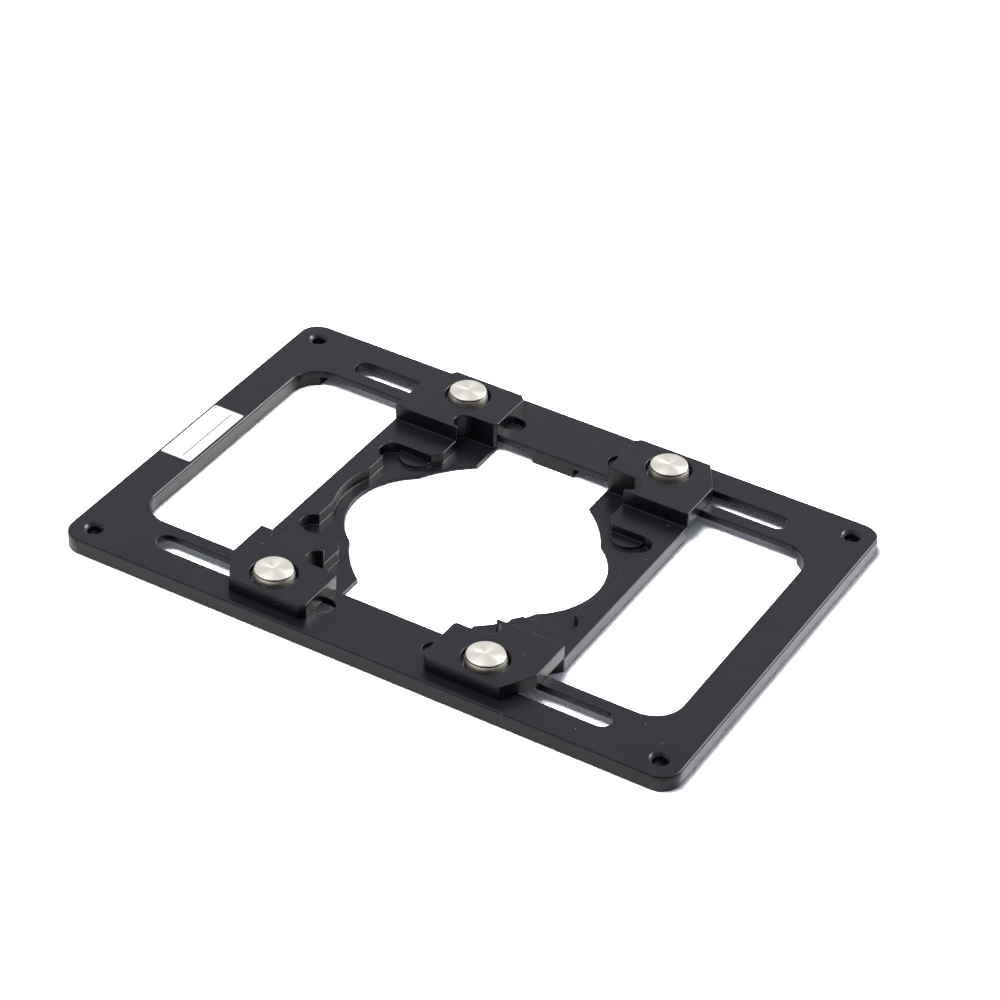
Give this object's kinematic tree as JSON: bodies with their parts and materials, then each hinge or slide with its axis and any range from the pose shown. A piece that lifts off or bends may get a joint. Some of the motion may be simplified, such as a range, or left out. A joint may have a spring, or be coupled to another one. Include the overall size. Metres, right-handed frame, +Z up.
{
  "type": "microscope stage insert",
  "caption": "Flat frame with the footprint of a standard microplate and sliding jaws that hold a dish, a slide or a small plate over a microscope's light path.",
  "frame": {"origin": "centre of the frame plate's underside, where it lies in the stage's recess", "axes": "+X along the frame's long side, away from the label; +Y across it, towards the far bar; +Z up, towards the specimen side"},
  "size_m": [0.1278, 0.0854, 0.0074],
  "materials": {
    "anodised": "black anodised over a fine milled face, satin",
    "label": "white film label, bare",
    "turned_steel": "stainless steel, faced on a lathe",
    "spring_steel": "spring steel, plain",
    "slide_polymer": "natural bearing plastic",
    "nut_steel": "stainless steel, plain"
  },
  "bodies": {
    "frame": {"frame_plate": "anodised", "blank_label": "label"},
    "left_slider": {"left_jaw": "anodised", "left_far_stud": "turned_steel", "left_far_disc_spring": "spring_steel", "left_far_slide_washer": "slide_polymer", "left_far_nut": "nut_steel", "left_near_stud": "turned_steel", "left_near_disc_spring": "spring_steel", "left_near_slide_washer": "slide_polymer", "left_near_nut": "nut_steel"},
    "right_slider": {"right_jaw": "anodised", "right_far_stud": "turned_steel", "right_far_disc_spring": "spring_steel", "right_far_slide_washer": "slide_polymer", "right_far_nut": "nut_steel", "right_near_stud": "turned_steel", "right_near_disc_spring": "spring_steel", "right_near_slide_washer": "slide_polymer", "right_near_nut": "nut_steel"}
  },
  "joints": [
    {"name": "right_jaw_slide", "type": "slide", "parent": "frame", "child": "right_slider", "axis": [1, 0, 0], "range_m": [-0.0106, 0.0234]},
    {"name": "left_jaw_slide", "type": "slide", "parent": "frame", "child": "left_slider", "axis": [-1, 0, 0], "range_m": [-0.0106, 0.0234]}
  ]
}
